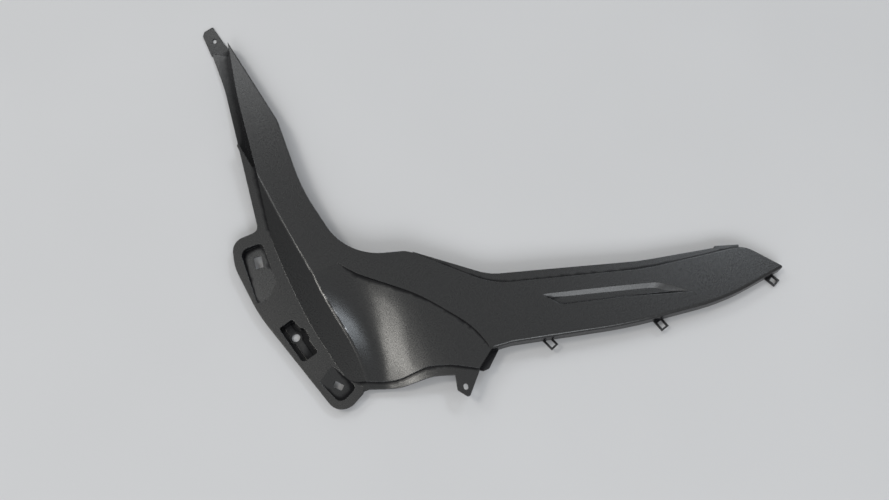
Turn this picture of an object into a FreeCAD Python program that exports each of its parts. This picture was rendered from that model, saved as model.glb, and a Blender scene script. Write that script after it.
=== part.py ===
import FreeCAD, Part
import math
import os

# Scooter side cover: one thin moulded panel, lying face up.
# Plan positions are millimetres from a datum near the middle of the cover: X runs along the
# skirt towards its tip, Y towards the top of the arm and Z up out of the show face.
# The finished cover is moved so that the middle of its underside is the origin.

V = FreeCAD.Vector

# Moulding
WALL = 2.5               # wall of the whole moulding
RETURN_DEPTH = 7.0       # return edge along the arm, the elbow and the top of the skirt
RETURN_RADIUS = 1.5      # rounding of that edge
SKIRT_DEPTH = 20.0       # side wall along the bottom of the skirt and round its tip
SKIRT_RADIUS = 4.0       # rounding of the bottom edge of the skirt
RIDGE_RADIUS = 5.0       # rounding of the ridge between the face and the bevel
DEEP = 120.0             # reach of the cutting bodies, well past the moulding
ON_FACE = 0.05           # how close a point counts as lying on a surface
FLAT = (0.0, 0.0)        # no slope and no bend

# Main face: a large gentle crown
CROWN_X = -130.0
CROWN_Y = 0.0
CROWN_TOP = 38.0
CROWN_RADIUS_ALONG = 10000.0
CROWN_RADIUS_ACROSS = 5000.0
FACE_REACH = 720.0

# Show outline in plan: x, y, corner radius
FACE_OUTLINE = [
    (-323.4, 321.0, 0.0),     # arm tip
    (-239.6, 185.9, 60.0),
    (-198.6, 77.5, 300.0),
    (-133.0, -22.5, 85.0),    # elbow
    (-54.3, -14.3, 30.0),
    (-44.1, -16.6, 20.0),
    (65.1, -60.2, 110.0),     # top edge of the skirt
    (272.2, -36.8, 400.0),
    (411.0, -1.0, 40.0),
    (465.0, -31.0, 0.0),      # skirt tip
    (380.0, -79.0, 330.0),
    (247.0, -116.0, 700.0),
    (89.0, -141.5, 40.0),
    (62.0, -150.0, 0.0),      # right end of the flute
    (45.7, -176.0, 2.0),
    (9.8, -170.7, 60.0),
    (-21.7, -172.4, 45.0),
    (-60.0, -190.0, 60.0),
    (-127.0, -191.5, 28.0),   # foot of the bevel
    (-216.0, -58.0, 350.0),
    (-245.6, 31.0, 220.0),
    (-264.6, 107.7, 400.0),
    (-301.0, 226.0, 500.0),
]

# Bevel panel below the ridge: heights along the ridge line, then the fall outwards from it
RIDGE_START = (-256.8, 88.4)
RIDGE_HEADING = -60.3
RIDGE_LEVEL = 36.2
RIDGE_SLOPE = 0.0446
RIDGE_BEND = -0.000267
BEVEL_FALL = 0.87
BEVEL_EASE = -0.0014     # the fall eases off towards the foot
BEVEL_ALONG = (-70.0, 420.0)
BEVEL_ACROSS = (-130.0, 300.0)

# Flute between the ridge and the crease: cross sections from the elbow down to past the foot,
# each running from outside the ridge over the valley and the shoulder to the right end
FLUTE_SECTIONS = [
    (10.0, [(-235, 60), (-190, 50), (-155, 45), (-125, 41.5),
            (-95, 40), (-65, 39), (-30, 38), (95, 34)]),
    (-55.0, [(-215, 40), (-172, 36.6), (-140, 33.3), (-119, 31.6),
             (-100, 32.2), (-75, 33.4), (-30, 34.2), (90, 33)]),
    (-96.0, [(-185, 41), (-150, 34.2), (-125, 27.9), (-109, 25.8),
             (-85, 27.4), (-60, 31), (-20, 33.4), (88, 32.4)]),
    (-137.0, [(-160, 41), (-126, 31.6), (-110, 26), (-98, 23),
              (-76, 24.4), (-53, 28.4), (-22, 31.6), (86, 31.6)]),
    (-172.0, [(-150, 38), (-108, 26), (-97, 22), (-87, 20),
              (-70, 21.4), (-50, 25.6), (-24, 29.6), (86, 31)]),
    (-235.0, [(-150, 12), (-110, 10), (-90, 11), (-80, 12),
              (-65, 14), (-45, 19), (-20, 25), (86, 29)]),
]
CREASE_OUTLINE = [
    (-175.0, -8.0, 0.0),
    (-144.0, -33.0, 20.0),
    (-118.0, -47.5, 60.0),
    (-35.0, -75.5, 250.0),
    (40.0, -120.0, 120.0),
    (64.0, -153.0, 0.0),
    (80.0, -232.0, 0.0),
    (-260.0, -232.0, 0.0),
    (-260.0, -60.0, 0.0),
]

# Fixing flange down the left side
FLANGE_START = (-278.0, 91.0)
FLANGE_HEADING = -53.0
FLANGE_LEVEL = 24.0
FLANGE_FALL = 0.055      # along the flange
FLANGE_BEND = 0.00009    # the fall eases off towards the foot
FLANGE_TILT = 0.03       # up towards the bevel
FLANGE_ALONG = (-120.0, 400.0)
FLANGE_ACROSS = (-120.0, 120.0)
FLANGE_OUTLINE = [
    (-295.3, 152.2, 1.0),
    (-258.3, 20.8, 10.0),
    (-294.5, 4.6, 20.0),
    (-287.5, -32.2, 60.0),
    (-250.9, -98.5, 200.0),
    (-134.5, -238.2, 22.0),
    (-105.6, -204.8, 6.0),
    (-110.0, -180.0, 0.0),
    (-190.0, -40.0, 0.0),
    (-235.0, 60.0, 0.0),
    (-255.0, 120.0, 0.0),
    (-272.0, 115.0, 0.0),
]

# Lower flange under the flute, with its screw tab
LOWER_STEP = 3.5
LOWER_OUTLINE = [
    (-122.0, -192.0, 0.0),
    (-118.0, -206.0, 0.0),
    (-98.0, -200.5, 20.0),
    (-56.0, -198.5, 60.0),
    (-15.1, -185.3, 60.0),
    (14.0, -184.0, 1.0),
    (16.9, -204.0, 3.0),
    (32.5, -214.0, 3.5),
    (46.5, -177.0, 1.0),
    (44.0, -160.0, 0.0),
    (-100.0, -160.0, 0.0),
]
SCREW_SLOT_WIDTH = 5.8
SCREW_SLOT_LENGTH = 8.2
SLOT_FLAT = 0.01         # flat left at the round end of a slot
LOWER_SLOT_AT = (27.8, -199.5)
LOWER_SLOT_HEADING = 100.0

# Ledge at the right end of the flute
LEDGE_DROP = 12.0
LEDGE_OUTLINE = [
    (58.0, -140.0, 0.0),
    (72.0, -148.0, 1.0),
    (59.0, -173.5, 4.0),
    (51.5, -177.0, 2.0),
    (44.0, -175.5, 0.0),
    (40.0, -165.0, 0.0),
]

# Trough strip down the left of the arm, with its screw tab
TAB_LEVEL = WALL
TAB_REACH = 80.0
TROUGH_TOP = [(-361.0, 324.0, TAB_LEVEL), (-338.0, 318.0, TAB_LEVEL), (-300.0, 308.0, TAB_LEVEL)]
TROUGH_FOOT = [(-290.0, 98.0, 20.0), (-274.0, 94.0, 9.5), (-246.0, 85.0, 12.0)]
TROUGH_OUTLINE = [
    (-351.6, 314.5, 0.0),
    (-326.0, 251.0, 250.0),
    (-297.6, 154.7, 1.0),
    (-272.0, 112.0, 0.0),
    (-264.0, 112.0, 0.0),
    (-291.0, 200.0, 0.0),
    (-319.6, 309.0, 0.0),
]
TAB_OUTLINE = [
    (-367.4, 344.4, 1.5),
    (-366.0, 352.2, 3.0),
    (-354.0, 361.0, 2.0),
    (-333.0, 330.0, 1.0),
    (-323.0, 320.0, 0.0),
    (-319.0, 306.0, 0.0),
    (-351.6, 310.5, 0.0),
]
UPPER_SLOT_AT = (-349.0, 336.0)
UPPER_SLOT_HEADING = 100.0

# Riser closing the foot of the trough against the fixing flange
RISER = [
    (-295.0, 152.5),
    (-272.0, 114.0),
    (-266.0, 104.0),
    (-270.0, 104.0),
    (-275.0, 112.0),
    (-296.0, 147.5),
]

# Joggled strip along the top edge of the skirt, with a tongue at its end
JOGGLE_DROP = 4.0
JOGGLE_OUTLINE = [
    (-43.5, -14.6, 0.0),
    (49.3, -43.3, 0.0),
    (66.0, -46.0, 60.0),
    (265.8, -25.5, 400.0),
    (374.0, -4.0, 1.0),
    (389.0, -11.0, 0.0),
    (268.0, -45.0, 0.0),
    (65.0, -70.0, 0.0),
    (-44.0, -26.0, 0.0),
]
TONGUE_WALL = 3.0
TONGUE_OUTLINE = [
    (370.0, -9.0, 0.5),
    (371.5, -2.0, 1.0),
    (406.0, 1.0, 1.0),
    (406.0, -10.0, 0.5),
]

# Leaf-shaped styling recess: outer line and floor line, along and across the skirt
LEAF_AT = (212.0, -73.0)
LEAF_HEADING = 7.0
LEAF_DEPTH = 4.0
LEAF_OUTER = [
    (-82.0, 8.0, 0.5),
    (79.0, 8.0, 60.0),
    (133.0, -12.0, 0.5),
    (30.0, -8.0, 120.0),
    (-58.0, -9.5, 14.0),
]
LEAF_FLOOR = [
    (-74.0, 2.5, 0.3),
    (70.0, 1.0, 40.0),
    (92.0, -6.5, 0.3),
    (30.0, -6.5, 100.0),
    (-56.0, -7.5, 11.0),
]

# Pockets in the fixing flange: outline along and across a heading from the pocket centre
POCKET_ALONG = (-80.0, 80.0)
POCKET_ACROSS = (-60.0, 60.0)
POCKET_ONE_AT = (-254.2, -35.3)
POCKET_ONE_HEADING = -69.0
POCKET_ONE_LEVEL = 13.4  # floor height at the pocket centre
POCKET_ONE_RAMP = 0.05   # rise of the floor along the pocket
POCKET_ONE_TILT = 0.105
POCKET_ONE = [
    (-36.0, -16.5, 12.0),
    (-36.0, 16.0, 8.0),
    (44.0, 16.5, 0.0),
    (44.0, -16.5, 0.0),
]
POCKET_TWO_AT = (-196.0, -133.7)
POCKET_TWO_HEADING = -53.0
POCKET_TWO_LEVEL = WALL
POCKET_TWO = [
    (-29.0, -11.5, 4.0),
    (-29.0, 10.0, 4.0),
    (-13.0, 11.5, 3.0),
    (-9.0, 15.5, 4.0),
    (5.0, 15.5, 4.0),
    (9.0, 12.0, 3.0),
    (29.5, 12.5, 3.5),
    (29.5, -12.0, 6.0),
]
POCKET_THREE_AT = (-137.5, -195.0)
POCKET_THREE_HEADING = -42.0
POCKET_THREE_LEVEL = 8.6
POCKET_THREE_RAMP = -0.2
POCKET_THREE = [
    (-26.0, -14.0, 0.0),
    (18.0, -17.0, 10.0),
    (18.0, 13.5, 7.0),
    (-26.0, 12.0, 0.0),
]

# Raised pad and boss on the floor of pocket two, with the round bore
PAD_WIDTH = 10.0
PAD_HALF_LENGTH = 40.0   # runs into both end walls of the pocket
PAD_RISE = 2.5
BOSS_RADIUS = 9.0
BORE_AT = -7.5           # along pocket two
BORE_RADIUS = 5.8

# Slots for the tongues of the neighbouring panel, in pockets one and three: length and width
TONGUE_SLOT_CORNER = 1.0
TONGUE_SLOT_ONE_AT = (-256.6, -23.0)
TONGUE_SLOT_ONE = (18.0, 11.2)
TONGUE_SLOT_ONE_HEADING = -74.7
TONGUE_SLOT_THREE_AT = (-140.2, -194.1)
TONGUE_SLOT_THREE = (12.8, 8.2)
TONGUE_SLOT_THREE_HEADING = -26.0

# Catch loops along the bottom of the skirt wall: base in plan, heading and reach
CATCHES = [
    ((136.0, -131.0), -47.0, 17.0),
    ((288.5, -104.5), -52.0, 15.0),
    ((448.5, -41.5), -42.0, 13.0),
]
CATCH_WIDTH = 12.0
CATCH_BAR = 2.5
CATCH_HEIGHT = 3.0
CATCH_ROOT = 4.0         # length of the loop's root, sunk in the wall

# Runs of the outline whose walls end at different depths, walked round in plan
TIP_RUN = [(-430, 345), (-323.4, 321.2), (-316.8, 305), (-430, 305)]
ARM_LEFT_RUN = [(-430, 305), (-316.8, 305), (-311, 291), (-245, 160), (-245, 107), (-268, 107), (-297, 155),
                (-340, 200)]
FLANGE_RUN = [(-340, 200), (-297, 155), (-268, 107), (-245, 107), (-215, 60), (-150, -40), (-100, -150),
              (-100, -260), (-340, -260)]
LOWER_RUN = [(-100, -260), (-100, -150), (-40, -120), (30, -140), (43, -170), (46, -260)]
LEDGE_RUN = [(46, -260), (43, -170), (30, -140), (58, -138), (65, -153), (120, -260)]
SKIRT_RUN = [(120, -260), (65, -153), (58, -138), (200, -80), (425, -22), (470, 15), (540, 15), (540, -260)]
UPPER_RUN = [(-430, 345), (-323.4, 321.2), (-316.8, 305), (-311, 291), (-245, 160), (-215, 60), (-150, -40),
             (-50, -40), (60, -85), (200, -80), (425, -22), (470, 15), (540, 15), (540, 430), (-430, 430)]

# Areas in plan that pick out the edges to round
UPPER_EDGE = [(-323.4, 321.2), (-300, 400), (600, 400), (600, -30), (465.2, -30.8), (300, -80), (60, -85),
              (-52, -40), (-140, -30), (-215, 60), (-280, 230)]
SKIRT_EDGE = [(65, -153), (100, -120), (300, -80), (465.2, -31.2), (600, -31.2), (600, -260), (65, -260)]


def rounded_wire(points):
    """Closed wire of straight runs with a tangent arc of the given radius at each corner."""
    count = len(points)
    firsts = []
    lasts = []
    edges = []
    for i, (x, y, radius) in enumerate(points):
        here = V(x, y, 0)
        before = (V(*points[i - 1][:2], 0) - here).normalize()
        after = (V(*points[(i + 1) % count][:2], 0) - here).normalize()
        half_open = before.getAngle(after) / 2
        reach = radius / math.tan(half_open)
        firsts.append(here + before * reach)
        lasts.append(here + after * reach)
        if radius > 0:
            inward = (before + after).normalize()
            middle = here + inward * (radius / math.sin(half_open) - radius)
            edges.append(Part.Arc(firsts[i], middle, lasts[i]).toShape())
    for i in range(count):
        start, end = lasts[i], firsts[(i + 1) % count]
        if (end - start).Length > 1e-6:
            edges.append(Part.makeLine(start, end))
    return Part.Wire(Part.__sortEdges__(edges))


def turned(points, at, heading):
    """Plan points for an outline given along and across a heading from a place."""
    c = math.cos(math.radians(heading))
    s = math.sin(math.radians(heading))
    return [(at[0] + a * c - b * s, at[1] + a * s + b * c, r) for a, b, r in points]


def rectangle(length, width, corner=0.0):
    """Outline of a rectangle about its centre."""
    end = length / 2
    half = width / 2
    return [(-end, -half, corner), (end, -half, corner), (end, half, corner), (-end, half, corner)]


def prism(wire):
    """Upright body on a plan wire, reaching well above and below the cover."""
    return Part.Face(wire).translated(V(0, 0, -DEEP / 2)).extrude(V(0, 0, DEEP))


def polygon(points):
    return Part.makePolygon([V(x, y, 0) for x, y in points + points[:1]])


def area(points):
    """Upright body on a plain polygon."""
    return prism(polygon(points))


def below(face):
    return face.extrude(V(0, 0, -DEEP))


def above(face):
    return face.extrude(V(0, 0, DEEP))


def sheet(face, thickness):
    return face.extrude(V(0, 0, -thickness))


def lowered(face, drop):
    return face.translated(V(0, 0, -drop))


def bezier_face(rows):
    """Surface patch on rows of poles."""
    surface = Part.BezierSurface()
    surface.increase(len(rows) - 1, len(rows[0]) - 1)
    for i, row in enumerate(rows):
        for j, pole in enumerate(row):
            surface.setPole(i + 1, j + 1, V(*pole))
    return surface.toShape()


def bent_face(at, heading, along, across, level, along_terms=FLAT, across_terms=FLAT, twist=0.0):
    """Patch whose height is a level plus a slope and a bend both along and across a heading."""
    def pole_heights(span, terms):
        start, end = span
        slope, bend = terms
        return [slope * start + bend * start * start,
                slope * (start + end) / 2 + bend * start * end,
                slope * end + bend * end * end]

    places_along = [along[0], (along[0] + along[1]) / 2, along[1]]
    places_across = [across[0], (across[0] + across[1]) / 2, across[1]]
    rows = []
    for a, rise in zip(places_along, pole_heights(along, along_terms)):
        row = []
        for b, lift in zip(places_across, pole_heights(across, across_terms)):
            x, y, _ = turned([(a, b, 0)], at, heading)[0]
            row.append((x, y, level + rise + lift + twist * a * b))
        rows.append(row)
    return bezier_face(rows)


def main_face():
    reach = (-FACE_REACH, FACE_REACH)
    return bent_face((CROWN_X, CROWN_Y), 0.0, reach, reach, CROWN_TOP,
                     (0.0, -0.5 / CROWN_RADIUS_ALONG), (0.0, -0.5 / CROWN_RADIUS_ACROSS))


def main_height(x, y):
    return (CROWN_TOP - (x - CROWN_X) ** 2 / (2 * CROWN_RADIUS_ALONG)
            - (y - CROWN_Y) ** 2 / (2 * CROWN_RADIUS_ACROSS))


def bevel_face():
    return bent_face(RIDGE_START, RIDGE_HEADING, BEVEL_ALONG, BEVEL_ACROSS, RIDGE_LEVEL,
                     (RIDGE_SLOPE, RIDGE_BEND), (BEVEL_FALL, 0.0), BEVEL_EASE)


def flute_face():
    """Smooth surface through the flute's cross sections."""
    sections = []
    for y, places in FLUTE_SECTIONS:
        curve = Part.BSplineCurve()
        curve.interpolate([V(x, y, z) for x, z in places])
        sections.append(Part.Wire(curve.toShape()))
    return Part.makeLoft(sections, False, False).Faces[0]


def flange_face():
    return bent_face(FLANGE_START, FLANGE_HEADING, FLANGE_ALONG, FLANGE_ACROSS, FLANGE_LEVEL,
                     (-FLANGE_FALL, FLANGE_BEND), (FLANGE_TILT, 0.0))


def under_flute(drop):
    """Solid under both the flute and the bevel, a drop below them."""
    return below(lowered(flute_face(), drop)).common(below(lowered(bevel_face(), drop)))


def face_block(skin):
    """Solid under the show face, set in from it by a skin."""
    outline = rounded_wire(FACE_OUTLINE)
    crease = rounded_wire(CREASE_OUTLINE)
    if skin > 0:
        outline = outline.makeOffset2D(-skin)
        crease = crease.makeOffset2D(skin)
    block = prism(outline).common(below(lowered(main_face(), skin)))
    block = block.cut(above(lowered(bevel_face(), skin)))
    block = block.cut(prism(crease).common(above(lowered(flute_face(), skin))))
    return block.Solids[0]


def edge_middle(edge):
    return edge.valueAt((edge.FirstParameter + edge.LastParameter) / 2)


def walls_beside(block, edge):
    """How many side walls an edge has: they are flat or cylindrical, show faces are free patches."""
    kinds = [face.Surface.TypeId for face in block.ancestorsOfType(edge, Part.Face)]
    return kinds.count("Part::GeomPlane") + kinds.count("Part::GeomCylinder")


def ridge_edges(block):
    """Edges where the bevel meets another show face."""
    bevel = bevel_face()
    picked = []
    for edge in block.Edges:
        on_bevel = bevel.distToShape(Part.Vertex(edge_middle(edge)))[0] < ON_FACE
        if on_bevel and walls_beside(block, edge) == 0:
            picked.append(edge)
    return picked


def rim_edges(block, region):
    """Edges between the main face and one side wall, inside a region in plan."""
    inside = Part.Face(polygon(region))
    picked = []
    for edge in block.Edges:
        middle = edge_middle(edge)
        on_face = abs(middle.z - main_height(middle.x, middle.y)) < ON_FACE
        in_region = inside.isInside(V(middle.x, middle.y, 0), ON_FACE, True)
        if on_face and in_region and walls_beside(block, edge) == 1:
            picked.append(edge)
    return picked


def rounded_block():
    """Solid under the show face with its show edges rounded."""
    block = face_block(0.0)
    block = block.makeFillet(RIDGE_RADIUS, ridge_edges(block)).Solids[0]
    block = block.makeFillet(SKIRT_RADIUS, rim_edges(block, SKIRT_EDGE)).Solids[0]
    return block.makeFillet(RETURN_RADIUS, rim_edges(block, UPPER_EDGE)).Solids[0]


def leaf_body(skin):
    """Tapered body of the styling recess grown by a skin, laid square to the main face."""
    rim = rounded_wire(LEAF_OUTER)
    floor = rounded_wire(LEAF_FLOOR)
    if skin > 0:
        rim = rim.makeOffset2D(skin)
        floor = floor.makeOffset2D(skin)
    lid = Part.Face(rim).extrude(V(0, 0, LEAF_DEPTH))
    body = Part.makeLoft([rim, floor.translated(V(0, 0, -LEAF_DEPTH - skin))], True, True).fuse(lid)
    x, y = LEAF_AT
    normal = V((x - CROWN_X) / CROWN_RADIUS_ALONG, (y - CROWN_Y) / CROWN_RADIUS_ACROSS, 1)
    body.rotate(V(0, 0, 0), V(0, 0, 1), LEAF_HEADING)
    tilt = FreeCAD.Rotation(V(0, 0, 1), normal)
    body.Placement = FreeCAD.Placement(V(x, y, main_height(x, y)), tilt).multiply(body.Placement)
    return body


def catch_loop(at, heading, reach):
    """Flat rectangular loop standing out from the rim of the skirt wall."""
    base = main_height(*at) - SKIRT_DEPTH
    half = CATCH_WIDTH / 2
    loop = Part.makeBox(CATCH_ROOT + reach, CATCH_WIDTH, CATCH_HEIGHT, V(-CATCH_ROOT, -half, 0))
    window = Part.makeBox(reach - 2 * CATCH_BAR, CATCH_WIDTH - 2 * CATCH_BAR, CATCH_HEIGHT * 3,
                          V(CATCH_BAR, CATCH_BAR - half, -CATCH_HEIGHT))
    loop = loop.cut(window)
    loop.rotate(V(0, 0, 0), V(0, 0, 1), heading)
    return loop.translated(V(at[0], at[1], base))


def upright(outline, at, heading):
    """Upright body on an outline laid along a heading."""
    return prism(rounded_wire(turned(outline, at, heading)))


# Surfaces that the flanges and strips follow
flange_top = flange_face()
flute = flute_face()
ledge_top = lowered(flute, LEDGE_DROP)
joggle_top = lowered(main_face(), JOGGLE_DROP)
trough_top = bezier_face([TROUGH_TOP, TROUGH_FOOT])
tab_top = bent_face(UPPER_SLOT_AT, 0.0, (-TAB_REACH, TAB_REACH), (-TAB_REACH, TAB_REACH), TAB_LEVEL)

# Show panel: the rounded block, hollowed out, with each run of its side wall cut to depth
core = face_block(WALL)
panel = rounded_block().cut(core)
for run, rim in [
    (UPPER_RUN, lowered(main_face(), RETURN_DEPTH)),
    (SKIRT_RUN, lowered(main_face(), SKIRT_DEPTH)),
    (FLANGE_RUN, lowered(flange_top, WALL)),
    (TIP_RUN, lowered(tab_top, WALL)),
    (ARM_LEFT_RUN, lowered(trough_top, WALL)),
    (LOWER_RUN, lowered(flute, LOWER_STEP + WALL)),
    (LEDGE_RUN, lowered(ledge_top, WALL)),
]:
    panel = panel.cut(area(run).common(below(rim)))

# Flanges, strips and catch loops that stand out from the show panel
additions = []
for outline, top, wall in [
    (FLANGE_OUTLINE, flange_top, WALL),
    (LEDGE_OUTLINE, ledge_top, WALL),
    (TROUGH_OUTLINE, trough_top, WALL),
    (TAB_OUTLINE, tab_top, WALL),
    (JOGGLE_OUTLINE, joggle_top, WALL),
    (TONGUE_OUTLINE, joggle_top, TONGUE_WALL),
]:
    additions.append(prism(rounded_wire(outline)).common(sheet(top, wall)))
lower_flange = prism(rounded_wire(LOWER_OUTLINE)).common(under_flute(LOWER_STEP))
additions.append(lower_flange.cut(under_flute(LOWER_STEP + WALL)))
additions.append(area(RISER).common(below(flange_top)).common(above(lowered(trough_top, WALL))))
additions.extend(catch_loop(*catch) for catch in CATCHES)

# Pockets: a cup hung under the fixing flange, then its inside cut away
insides = []
for outline, at, heading, level, ramp, tilt in [
    (POCKET_ONE, POCKET_ONE_AT, POCKET_ONE_HEADING, POCKET_ONE_LEVEL, POCKET_ONE_RAMP, POCKET_ONE_TILT),
    (POCKET_TWO, POCKET_TWO_AT, POCKET_TWO_HEADING, POCKET_TWO_LEVEL, 0.0, 0.0),
    (POCKET_THREE, POCKET_THREE_AT, POCKET_THREE_HEADING, POCKET_THREE_LEVEL, POCKET_THREE_RAMP, 0.0),
]:
    floor = bent_face(at, heading, POCKET_ALONG, POCKET_ACROSS, level, (ramp, 0.0), (tilt, 0.0))
    wire = rounded_wire(turned(outline, at, heading))
    cup = prism(wire.makeOffset2D(WALL)).common(above(lowered(floor, WALL)))
    additions.append(cup.common(below(flange_top)))
    insides.append(prism(wire).common(above(floor)))
panel = panel.fuse(additions[0].multiFuse(additions[1:]).cut(core))
for inside in insides:
    panel = panel.cut(inside)

# Pad and boss on the floor of pocket two
bore_x, bore_y, _ = turned([(BORE_AT, 0, 0)], POCKET_TWO_AT, POCKET_TWO_HEADING)[0]
pad = upright(rectangle(2 * PAD_HALF_LENGTH, PAD_WIDTH), POCKET_TWO_AT, POCKET_TWO_HEADING)
pad = pad.common(upright(POCKET_TWO, POCKET_TWO_AT, POCKET_TWO_HEADING))
pad = pad.fuse(Part.makeCylinder(BOSS_RADIUS, DEEP, V(bore_x, bore_y, -DEEP / 2)))
pad_top = bent_face(POCKET_TWO_AT, POCKET_TWO_HEADING, POCKET_ALONG, POCKET_ACROSS,
                    POCKET_TWO_LEVEL + PAD_RISE)
panel = panel.fuse(pad.common(sheet(pad_top, PAD_RISE + WALL / 2)))

# Styling recess: a backing under the skin, then the recess itself
backing = leaf_body(WALL).common(below(lowered(main_face(), WALL / 2)))
panel = panel.fuse(backing).cut(leaf_body(0.0))

# Holes
screw_slot = rectangle(SCREW_SLOT_LENGTH, SCREW_SLOT_WIDTH, SCREW_SLOT_WIDTH / 2 - SLOT_FLAT)
tongue_slot_one = rectangle(*TONGUE_SLOT_ONE, TONGUE_SLOT_CORNER)
tongue_slot_three = rectangle(*TONGUE_SLOT_THREE, TONGUE_SLOT_CORNER)
for hole in [
    Part.makeCylinder(BORE_RADIUS, DEEP, V(bore_x, bore_y, -DEEP / 2)),
    upright(screw_slot, UPPER_SLOT_AT, UPPER_SLOT_HEADING),
    upright(screw_slot, LOWER_SLOT_AT, LOWER_SLOT_HEADING),
    upright(tongue_slot_one, TONGUE_SLOT_ONE_AT, TONGUE_SLOT_ONE_HEADING),
    upright(tongue_slot_three, TONGUE_SLOT_THREE_AT, TONGUE_SLOT_THREE_HEADING),
]:
    panel = panel.cut(hole)
cover = panel.removeSplitter().Solids[0]

# Origin at the middle of the underside
box = cover.optimalBoundingBox()
cover = cover.translated(V(-(box.XMin + box.XMax) / 2, -(box.YMin + box.YMax) / 2, -box.ZMin))

os.makedirs("parts", exist_ok=True)
cover.exportStep("parts/side_cover.step")
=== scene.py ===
# %% [markdown]
# Scooter side cover: one thin moulded panel in satin dark-grey paint, lying face up.
# The measured model already gives every form of the panel, so this lesson dresses it: it keeps the
# true shading of the curved faces, paints the show side, leaves the back bare, rubs the ridge a
# little, and lights the panel like a part laid out on a packing table.
# Everything is in metres, in the measured model's own frame.

# %% Load the measured model
import math

import bmesh
import bpy
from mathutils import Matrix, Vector
from mathutils.bvhtree import BVHTree


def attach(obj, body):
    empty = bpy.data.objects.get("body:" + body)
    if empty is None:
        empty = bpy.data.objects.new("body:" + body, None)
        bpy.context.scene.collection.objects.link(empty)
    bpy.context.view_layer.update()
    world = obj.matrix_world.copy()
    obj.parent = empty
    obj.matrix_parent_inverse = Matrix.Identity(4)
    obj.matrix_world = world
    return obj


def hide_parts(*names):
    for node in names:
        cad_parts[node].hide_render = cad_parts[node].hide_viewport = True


MM = 0.001

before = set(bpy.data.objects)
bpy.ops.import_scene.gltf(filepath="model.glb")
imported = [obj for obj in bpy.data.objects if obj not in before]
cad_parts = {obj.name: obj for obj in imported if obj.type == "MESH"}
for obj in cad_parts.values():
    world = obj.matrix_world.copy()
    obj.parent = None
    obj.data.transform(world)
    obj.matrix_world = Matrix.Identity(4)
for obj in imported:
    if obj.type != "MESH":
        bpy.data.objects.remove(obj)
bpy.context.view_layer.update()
scene = bpy.context.scene

# %% [markdown]
# The real cover is a single moulding, so it stays a single piece here. The loaded mesh is loose
# patches of triangles, one for each face of the measured model, but each patch knows the true tilt of
# its curved face at every corner. Those tilts are put aside on the mesh, and the patches are merged
# into one skin. A subdivision surface would pull the crisp folds out of place, and plain smooth
# shading would smear each rounded edge across the wide flat face beside it.

# %% Merge a copy of the panel into one skin
MERGE_DISTANCE = 0.002 * MM

panel_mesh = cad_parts["side_cover"].data.copy()
panel_mesh.name = "painted_cover"
true_tilts = panel_mesh.attributes.new("true_tilt", "FLOAT_VECTOR", "CORNER")
for saved, corner in zip(true_tilts.data, panel_mesh.corner_normals):
    saved.vector = corner.vector
painted_cover = bpy.data.objects.new("painted_cover", panel_mesh)
scene.collection.objects.link(painted_cover)

skin = bmesh.new()
skin.from_mesh(panel_mesh)
loose_count = len(skin.verts)
bmesh.ops.remove_doubles(skin, verts=skin.verts, dist=MERGE_DISTANCE)
open_edges = sum(not edge.is_manifold for edge in skin.edges)
print("merged", loose_count, "corners into", len(skin.verts), "with", open_edges, "open edges")

# %% [markdown]
# The flat faces came in as a few long slivers. The painted shade below changes from corner to corner, so
# long edges are halved twice. The new corners lie on the old flat triangles, so the shape does not
# change, and the saved tilts are shared out along each edge.

# %% Divide the long slivers
LONGEST_EDGE = 10 * MM
HALVINGS = 2

for _ in range(HALVINGS):
    long_edges = [edge for edge in skin.edges if edge.calc_length() > LONGEST_EDGE]
    bmesh.ops.subdivide_edges(skin, edges=long_edges, cuts=1)
    bmesh.ops.triangulate(skin, faces=[face for face in skin.faces if len(face.verts) > 3])
print("divided into", len(skin.faces), "triangles")

# %% [markdown]
# The show side is painted, and the back of such a panel is bare black plastic. The deep pocket, the
# trough beside the arm and other recesses are darkened with painted shade. From each corner a fan of
# rays goes upwards, and the share that escapes is how open the corner is to the sky. The share is kept
# on the mesh as an attribute, so that the paint can darken to painted shade by it. A face whose own
# upward ray is blocked by the panel is on the back.

# %% Work out how open each corner is, for the painted shade, and which faces are bare
PROBE_LIFT = 0.4 * MM
SKY_RAY_ANGLES = (25, 50, 70)
SKY_RAY_TURNS = 12
PAINTED, BARE = 0, 1

straight_up = Vector((0, 0, 1))
fan = [straight_up]
for angle in map(math.radians, SKY_RAY_ANGLES):
    for turn in range(SKY_RAY_TURNS):
        heading = 2 * math.pi * turn / SKY_RAY_TURNS
        level = Vector((math.cos(heading), math.sin(heading), 0))
        fan.append(level * math.sin(angle) + straight_up * math.cos(angle))

overhead = BVHTree.FromBMesh(skin)
# Painted shade: the share of upward rays that escape sets how dark each corner is painted below.
openness_layer = skin.verts.layers.float.new("sky_openness")
for vertex in skin.verts:
    start = vertex.co + (vertex.normal + straight_up) * PROBE_LIFT
    vertex[openness_layer] = sum(overhead.ray_cast(start, ray)[0] is None for ray in fan) / len(fan)
for face in skin.faces:
    start = face.calc_center_median() + face.normal * PROBE_LIFT
    face.material_index = PAINTED if overhead.ray_cast(start, straight_up)[0] is None else BARE
    face.smooth = True
bare_count = sum(face.material_index == BARE for face in skin.faces)
print("painted faces:", len(skin.faces) - bare_count, "bare faces:", bare_count)

# %% [markdown]
# The skin goes back into the mesh, and the saved tilts become its custom normals. What was stored
# only for this, and the old normals of the loose patches, are taken off the mesh.

# %% Give the true tilts back
skin.to_mesh(panel_mesh)
skin.free()
tilts = [saved.vector.normalized() for saved in panel_mesh.attributes["true_tilt"].data]
for attribute in ("true_tilt", "custom_normal", "sharp_edge", "sharp_face"):
    if attribute in panel_mesh.attributes:
        panel_mesh.attributes.remove(panel_mesh.attributes[attribute])
panel_mesh.normals_split_custom_set(tilts)
print("restored", len(tilts), "corner tilts")

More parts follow.
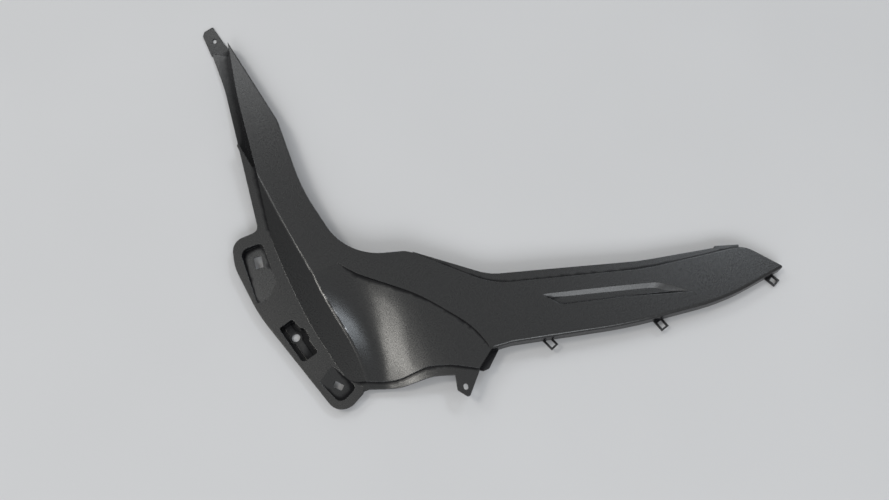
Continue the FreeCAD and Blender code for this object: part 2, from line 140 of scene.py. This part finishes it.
# %% [markdown]
# Satin metallic paint is a grey coat full of tiny metal flakes. Each flake lies at its own tilt, so
# some catch the light and some do not. Cells of a Voronoi pattern, each with its own random value,
# stand for the flakes. Effects like this are node groups, built once and placed in each material with
# its own values. A few helpers come first, because adding and linking nodes one by one is wordy.


# %% Node helpers
def new_group(name, inputs, output):
    """Shader node group with float inputs given as name: default, and one float output."""
    group = bpy.data.node_groups.new(name, "ShaderNodeTree")
    group.interface.new_socket("Vector", in_out="INPUT", socket_type="NodeSocketVector")
    for socket_name, default in inputs.items():
        socket = group.interface.new_socket(socket_name, in_out="INPUT", socket_type="NodeSocketFloat")
        socket.default_value = default
    group.interface.new_socket(output, in_out="OUTPUT", socket_type="NodeSocketFloat")
    return group, group.nodes.new("NodeGroupInput").outputs, group.nodes.new("NodeGroupOutput").inputs


def feed(tree, socket, value):
    """Link a socket into another, or set a plain value on it."""
    if isinstance(value, bpy.types.NodeSocket):
        tree.links.new(value, socket)
    else:
        socket.default_value = value


def math_node(tree, operation, *values, clamp=False):
    """Math node whose operands are sockets or plain numbers."""
    node = tree.nodes.new("ShaderNodeMath")
    node.operation = operation
    node.use_clamp = clamp
    for socket, value in zip(node.inputs, values):
        feed(tree, socket, value)
    return node.outputs["Value"]


def noise_node(tree, place, scale, detail):
    """Noise texture value at a place."""
    node = tree.nodes.new("ShaderNodeTexNoise")
    feed(tree, node.inputs["Vector"], place)
    feed(tree, node.inputs["Scale"], scale)
    node.inputs["Detail"].default_value = detail
    return node.outputs["Fac"]


def ramp(tree, value, start, end, low=0.0, high=1.0):
    """Smooth Map Range from start..end to low..high."""
    node = tree.nodes.new("ShaderNodeMapRange")
    node.interpolation_type = "SMOOTHSTEP"
    for name, number in (("From Min", start), ("From Max", end), ("To Min", low), ("To Max", high)):
        node.inputs[name].default_value = number
    feed(tree, node.inputs["Value"], value)
    return node.outputs["Result"]


print("node helpers:", [helper.__name__ for helper in (new_group, feed, math_node, noise_node, ramp)])

# %% Flake group
COARSE_FLAKE = 0.42

flake, flake_in, flake_out = new_group("metal_flake", {"Scale": 1000.0, "Coarse share": 0.4}, "Sparkle")
glints = []
for size in (1.0, COARSE_FLAKE):
    cells = flake.nodes.new("ShaderNodeTexVoronoi")
    feed(flake, cells.inputs["Vector"], flake_in["Vector"])
    feed(flake, cells.inputs["Scale"], math_node(flake, "MULTIPLY", flake_in["Scale"], size))
    grey = flake.nodes.new("ShaderNodeSeparateColor")
    feed(flake, grey.inputs["Color"], cells.outputs["Color"])
    glints.append(grey.outputs["Red"])
coarse = math_node(flake, "MULTIPLY", glints[1], flake_in["Coarse share"])
fine_share = math_node(flake, "SUBTRACT", 1.0, flake_in["Coarse share"])
fine = math_node(flake, "MULTIPLY", glints[0], fine_share)
feed(flake, flake_out["Sparkle"], math_node(flake, "ADD", fine, coarse))
print("group", flake.name, "with", len(flake.nodes), "nodes")

# %% [markdown]
# Moulded plastic is never glass-smooth. A spark-eroded tool leaves a soft grain, and the paint over
# it settles into a faint orange peel. Two noises of different size make one height for a bump node.

# %% Moulded grain group
PEEL_SIZE = 0.22
GRAIN_DETAIL = 2.0

grain, grain_in, grain_out = new_group("moulded_grain", {"Scale": 700.0, "Peel share": 0.5}, "Height")
heights = []
for size in (1.0, PEEL_SIZE):
    scale = math_node(grain, "MULTIPLY", grain_in["Scale"], size)
    heights.append(noise_node(grain, grain_in["Vector"], scale, GRAIN_DETAIL))
peel = math_node(grain, "MULTIPLY", heights[1], grain_in["Peel share"])
feed(grain, grain_out["Height"], math_node(grain, "ADD", heights[0], peel))
print("group", grain.name, "with", len(grain.nodes), "nodes")

# %% [markdown]
# The ridge stands proud, so it is the first thing to rub against other parts. A stretch of it is
# scuffed to a pale grey. The mark is strongest on the line of the ridge and fades to both sides. Fine
# noise breaks it into specks, and coarse noise gathers the specks into patches.

# %% Ridge rub group
RUB_START = Vector((-217.1, -130.7, 35.8)) * MM
RUB_END = Vector((-176.4, -194.6, 31.3)) * MM
PATCH_SCALE = 60.0
SPECK_EDGE = (0.42, 0.58)
PATCH_EDGE = (0.45, 0.58)

rub_length = (RUB_END - RUB_START).length
rub_way = (RUB_END - RUB_START).normalized()
rub, rub_in, rub_out = new_group("ridge_rub", {"Scale": 900.0, "Width": 2 * MM}, "Rub")


def vector_node(tree, operation, *values):
    """Vector Math node whose operands are sockets or plain vectors."""
    node = tree.nodes.new("ShaderNodeVectorMath")
    node.operation = operation
    for socket, value in zip(node.inputs, values):
        feed(tree, socket, value)
    return node.outputs


from_start = vector_node(rub, "SUBTRACT", rub_in["Vector"], RUB_START)["Vector"]
along = vector_node(rub, "DOT_PRODUCT", from_start, rub_way)["Value"]
sideways = vector_node(rub, "CROSS_PRODUCT", from_start, rub_way)["Vector"]
off_line = math_node(rub, "DIVIDE", vector_node(rub, "LENGTH", sideways)["Value"], rub_in["Width"])
on_line = math_node(rub, "SUBTRACT", 1.0, off_line, clamp=True)
on_stretch = math_node(rub, "COMPARE", along, rub_length / 2, rub_length / 2)
specks = ramp(rub, noise_node(rub, rub_in["Vector"], rub_in["Scale"], 3.0), *SPECK_EDGE)
patches = ramp(rub, noise_node(rub, rub_in["Vector"], PATCH_SCALE, 1.0), *PATCH_EDGE)
marks = math_node(rub, "MULTIPLY", specks, patches)
marks = math_node(rub, "MULTIPLY", marks, math_node(rub, "MULTIPLY", on_line, on_stretch))
feed(rub, rub_out["Rub"], marks)
print("group", rub.name, "along", round(rub_length / MM), "mm")

# %% [markdown]
# Each finish is one Principled shader. Its patterns read Object coordinates, which stay with the panel
# when it is moved, so nothing slides over the surface.


# %% Material helpers
def new_material(name):
    """Material with a Principled BSDF, and the Object coordinates it is patterned by."""
    material = bpy.data.materials.new(name)
    material.use_nodes = True
    tree = material.node_tree
    tree.nodes.clear()
    output = tree.nodes.new("ShaderNodeOutputMaterial")
    shader = tree.nodes.new("ShaderNodeBsdfPrincipled")
    feed(tree, output.inputs["Surface"], shader.outputs["BSDF"])
    place = tree.nodes.new("ShaderNodeTexCoord").outputs["Object"]
    return material, tree, shader.inputs, place


def use_group(tree, group, place, values):
    """Place a node group with its own values, and give its one output."""
    node = tree.nodes.new("ShaderNodeGroup")
    node.node_tree = group
    feed(tree, node.inputs["Vector"], place)
    for name, value in values.items():
        node.inputs[name].default_value = value
    return node.outputs[0]


def blend_colours(tree, mask, low, high):
    """Mix node between two colours, each a socket or a plain colour."""
    mix = tree.nodes.new("ShaderNodeMix")
    mix.data_type = "RGBA"
    sockets = {socket.identifier: socket for socket in mix.inputs}
    feed(tree, sockets["Factor_Float"], mask)
    feed(tree, sockets["A_Color"], low)
    feed(tree, sockets["B_Color"], high)
    return next(socket for socket in mix.outputs if socket.identifier == "Result_Color")


def bump(tree, height, strength, distance):
    """Bump node that tilts the surface by a height."""
    node = tree.nodes.new("ShaderNodeBump")
    node.inputs["Strength"].default_value = strength
    node.inputs["Distance"].default_value = distance
    feed(tree, node.inputs["Height"], height)
    return node


print("material helpers:", [helper.__name__ for helper in (new_material, use_group, blend_colours, bump)])

# %% [markdown]
# The show side is dark grey with a metallic glint, satin rather than glossy. The flakes set the colour
# and the roughness, and the moulded grain tilts the surface a little. Where the sky is blocked, in the
# deep pocket, the trough and other recesses, the colour fades to black and the metal drops away: this is
# painted shade. Paint also pools round every sharp rim, so a Bevel node
# rounds the shading there by about a millimetre, which draws the thin light lines round the pockets.
# Rounding each rim in the mesh would need many more faces for lines that are one pixel wide.

# %% Satin grey paint
PAINT_DARK = (0.052, 0.0525, 0.053, 1.0)
PAINT_LIGHT = (0.075, 0.075, 0.075, 1.0)
PAINTED_SHADE_BLACK = (0.005, 0.005, 0.006, 1.0)
RUBBED = (0.4, 0.4, 0.4, 1.0)
RIM_ROUND = 1.0 * MM
RIM_SAMPLES = 12
FULL_METAL = 0.8
PAINTED_SHADE_FADE = (0.6, 0.86)
SATIN_ROUGHNESS = (0.28, 0.262)
GRAIN_DEPTH = 0.3 * MM

satin_paint, tree, shader, place = new_material("satin_grey_paint")
sparkle = use_group(tree, flake, place, {"Scale": 2400.0, "Coarse share": 0.35})
height = use_group(tree, grain, place, {"Scale": 620.0, "Peel share": 0.6})
marks = use_group(tree, rub, place, {"Scale": 900.0, "Width": 1.8 * MM})
# Painted shade: where the sky is blocked the colour fades to black and the metal drops away.
sky_openness_node = tree.nodes.new("ShaderNodeAttribute")
sky_openness_node.attribute_name = "sky_openness"
outside_painted_shade = ramp(tree, sky_openness_node.outputs["Fac"], *PAINTED_SHADE_FADE)
paint_with_painted_shade = blend_colours(tree, outside_painted_shade, PAINTED_SHADE_BLACK, blend_colours(tree, sparkle, PAINT_DARK, PAINT_LIGHT))
feed(tree, shader["Base Color"], blend_colours(tree, marks, paint_with_painted_shade, RUBBED))
feed(tree, shader["Metallic"], math_node(tree, "MULTIPLY", outside_painted_shade, FULL_METAL))
feed(tree, shader["Roughness"], ramp(tree, sparkle, 0.0, 1.0, *SATIN_ROUGHNESS))
shader["Specular IOR Level"].default_value = 0.2
rim = tree.nodes.new("ShaderNodeBevel")
rim.samples = RIM_SAMPLES
rim.inputs["Radius"].default_value = RIM_ROUND
tilted = bump(tree, height, 0.035, GRAIN_DEPTH)
feed(tree, tilted.inputs["Normal"], rim.outputs["Normal"])
feed(tree, shader["Normal"], tilted.outputs["Normal"])
print("material", satin_paint.name, "with", len(tree.nodes), "nodes")

# %% [markdown]
# The back is the plastic as it came out of the mould: near black, dull and grainy. It uses the same
# grain group, coarser and deeper, because no paint fills it.

# %% Bare black plastic
BARE_DARK = (0.018, 0.018, 0.019, 1.0)
BARE_LIGHT = (0.03, 0.03, 0.031, 1.0)
BARE_ROUGHNESS = (0.5, 0.62)

bare_plastic, tree, shader, place = new_material("bare_black_plastic")
height = use_group(tree, grain, place, {"Scale": 480.0, "Peel share": 0.3})
feed(tree, shader["Base Color"], blend_colours(tree, height, BARE_DARK, BARE_LIGHT))
feed(tree, shader["Roughness"], ramp(tree, height, 0.0, 1.0, *BARE_ROUGHNESS))
feed(tree, shader["Normal"], bump(tree, height, 0.25, GRAIN_DEPTH).outputs["Normal"])
print("material", bare_plastic.name, "with", len(tree.nodes), "nodes")

# %% [markdown]
# The faces already know which of the two finishes they take. The panel then stands in for the measured
# node, and rides on the same body.

# %% Put the finishes on the panel
panel_mesh.materials.clear()
for finish in (satin_paint, bare_plastic):
    panel_mesh.materials.append(finish)
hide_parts("side_cover")
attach(painted_cover, "root")
print("panel finishes:", [finish.name for finish in panel_mesh.materials])

# %% [markdown]
# A plain pale floor carries the panel and keeps its shadow. A slow noise varies it by a few percent,
# so that it does not look like an empty page. It lies a hair below the panel, so the two never flicker.

# %% Floor
FLOOR_HALF = 20.0
FLOOR_DROP = 0.2 * MM
FLOOR_DARK = (0.6, 0.6, 0.605, 1.0)
FLOOR_LIGHT = (0.64, 0.64, 0.645, 1.0)

floor_mesh = bpy.data.meshes.new("pale_floor")
sheet = bmesh.new()
bmesh.ops.create_grid(sheet, x_segments=1, y_segments=1, size=FLOOR_HALF)
bmesh.ops.translate(sheet, verts=sheet.verts, vec=(0, 0, -FLOOR_DROP))
sheet.to_mesh(floor_mesh)
sheet.free()
pale_floor = bpy.data.objects.new("pale_floor", floor_mesh)
scene.collection.objects.link(pale_floor)

floor_finish, tree, shader, place = new_material("pale_floor")
shade = noise_node(tree, place, 3.0, 2.0)
feed(tree, shader["Base Color"], blend_colours(tree, shade, FLOOR_DARK, FLOOR_LIGHT))
shader["Roughness"].default_value = 0.9
shader["Specular IOR Level"].default_value = 0.1
floor_mesh.materials.append(floor_finish)
print("floor", FLOOR_HALF * 2, "m wide")

# %% [markdown]
# Satin paint is read by what it mirrors, so the light is a set of soft boxes far off, like windows
# round a workshop. From far away each box lies in the same direction for the whole panel, and each
# curved face mirrors it in one smooth band. The warm key draws the bright band down the flute, the
# cool box on the right draws the flute's other flank, and the low boxes draw the thin lines on rims
# and edges.

# %% Lights
MIDDLE = Vector((-0.1, -0.1, 0.0))
LAMP_DISTANCE = 6.0
SOFT_BOXES = {
    "key_warm": dict(tilt=(-27, 2), spread=(9, 12), glow=16.0, colour=(1.0, 0.97, 0.91)),
    "right_cool": dict(tilt=(27, 32), spread=(16, 10), glow=8.0, colour=(0.86, 0.93, 1.0)),
    "left_window": dict(tilt=(-42, 27), spread=(12, 12), glow=6.0, colour=(0.97, 0.99, 1.0)),
    "back_window": dict(tilt=(-20, 42), spread=(10, 10), glow=4.0, colour=(0.97, 0.99, 1.0)),
    "front_wide": dict(tilt=(10, -48), spread=(40, 24), glow=4.5, colour=(0.94, 0.97, 1.0)),
}


def soft_box(name, tilt, spread, glow, colour):
    """Far lamp, tilted from straight up by degrees towards +X and +Y, so many degrees wide and deep."""
    slope_x, slope_y = (math.tan(math.radians(angle)) for angle in tilt)
    way = Vector((slope_x, slope_y, 1.0)).normalized()
    lamp = bpy.data.lights.new(name, "AREA")
    lamp.shape = "RECTANGLE"
    lamp.size, lamp.size_y = (2 * LAMP_DISTANCE * math.tan(math.radians(angle) / 2) for angle in spread)
    lamp.energy = glow * math.pi * lamp.size * lamp.size_y
    lamp.color = colour
    box = bpy.data.objects.new(name, lamp)
    box.location = MIDDLE + way * LAMP_DISTANCE
    box.rotation_mode = "QUATERNION"
    box.rotation_quaternion = (-way).to_track_quat("-Z", "Y")
    scene.collection.objects.link(box)


for name, values in SOFT_BOXES.items():
    soft_box(name, **values)
print("soft boxes:", list(SOFT_BOXES))

# %% [markdown]
# A dim room fills in the rest. It is brighter overhead than at the horizon, as under a pale ceiling.

# %% Room
ROOM_HORIZON = 0.24
ROOM_OVERHEAD = 0.46

room = bpy.data.worlds.new("soft_room")
room.use_nodes = True
tree = room.node_tree
sky = tree.nodes["Background"].inputs
sky["Color"].default_value = (0.98, 0.99, 1.0, 1.0)
look = tree.nodes.new("ShaderNodeSeparateXYZ")
feed(tree, look.inputs["Vector"], tree.nodes.new("ShaderNodeTexCoord").outputs["Generated"])
feed(tree, sky["Strength"], ramp(tree, look.outputs["Z"], 0.0, 1.0, ROOM_HORIZON, ROOM_OVERHEAD))
scene.world = room
print("room light from", ROOM_HORIZON, "to", ROOM_OVERHEAD)

# %% [markdown]
# The panel was seen from standing height, looking steeply down at it. The camera aims at the model's
# own datum point. Its distance and half angle were found by laying the panel's outline over a picture.

# %% Camera
ELEVATION = math.radians(70.0)
DISTANCE = 1.3345
HALF_WIDTH_ANGLE = math.radians(25.0)
SENSOR = 36.0
AIM = Vector((-48.05, -66.97, 0.0)) * MM

lens = bpy.data.cameras.new("camera")
lens.sensor_width = SENSOR
lens.lens = SENSOR / 2 / math.tan(HALF_WIDTH_ANGLE)
camera = bpy.data.objects.new("camera", lens)
camera.location = AIM + DISTANCE * Vector((0, -math.cos(ELEVATION), math.sin(ELEVATION)))
camera.rotation_euler = (math.pi / 2 - ELEVATION, 0, 0)
scene.collection.objects.link(camera)
scene.camera = camera
scene.view_settings.view_transform = "Standard"
print("camera at", [round(place, 3) for place in camera.location])
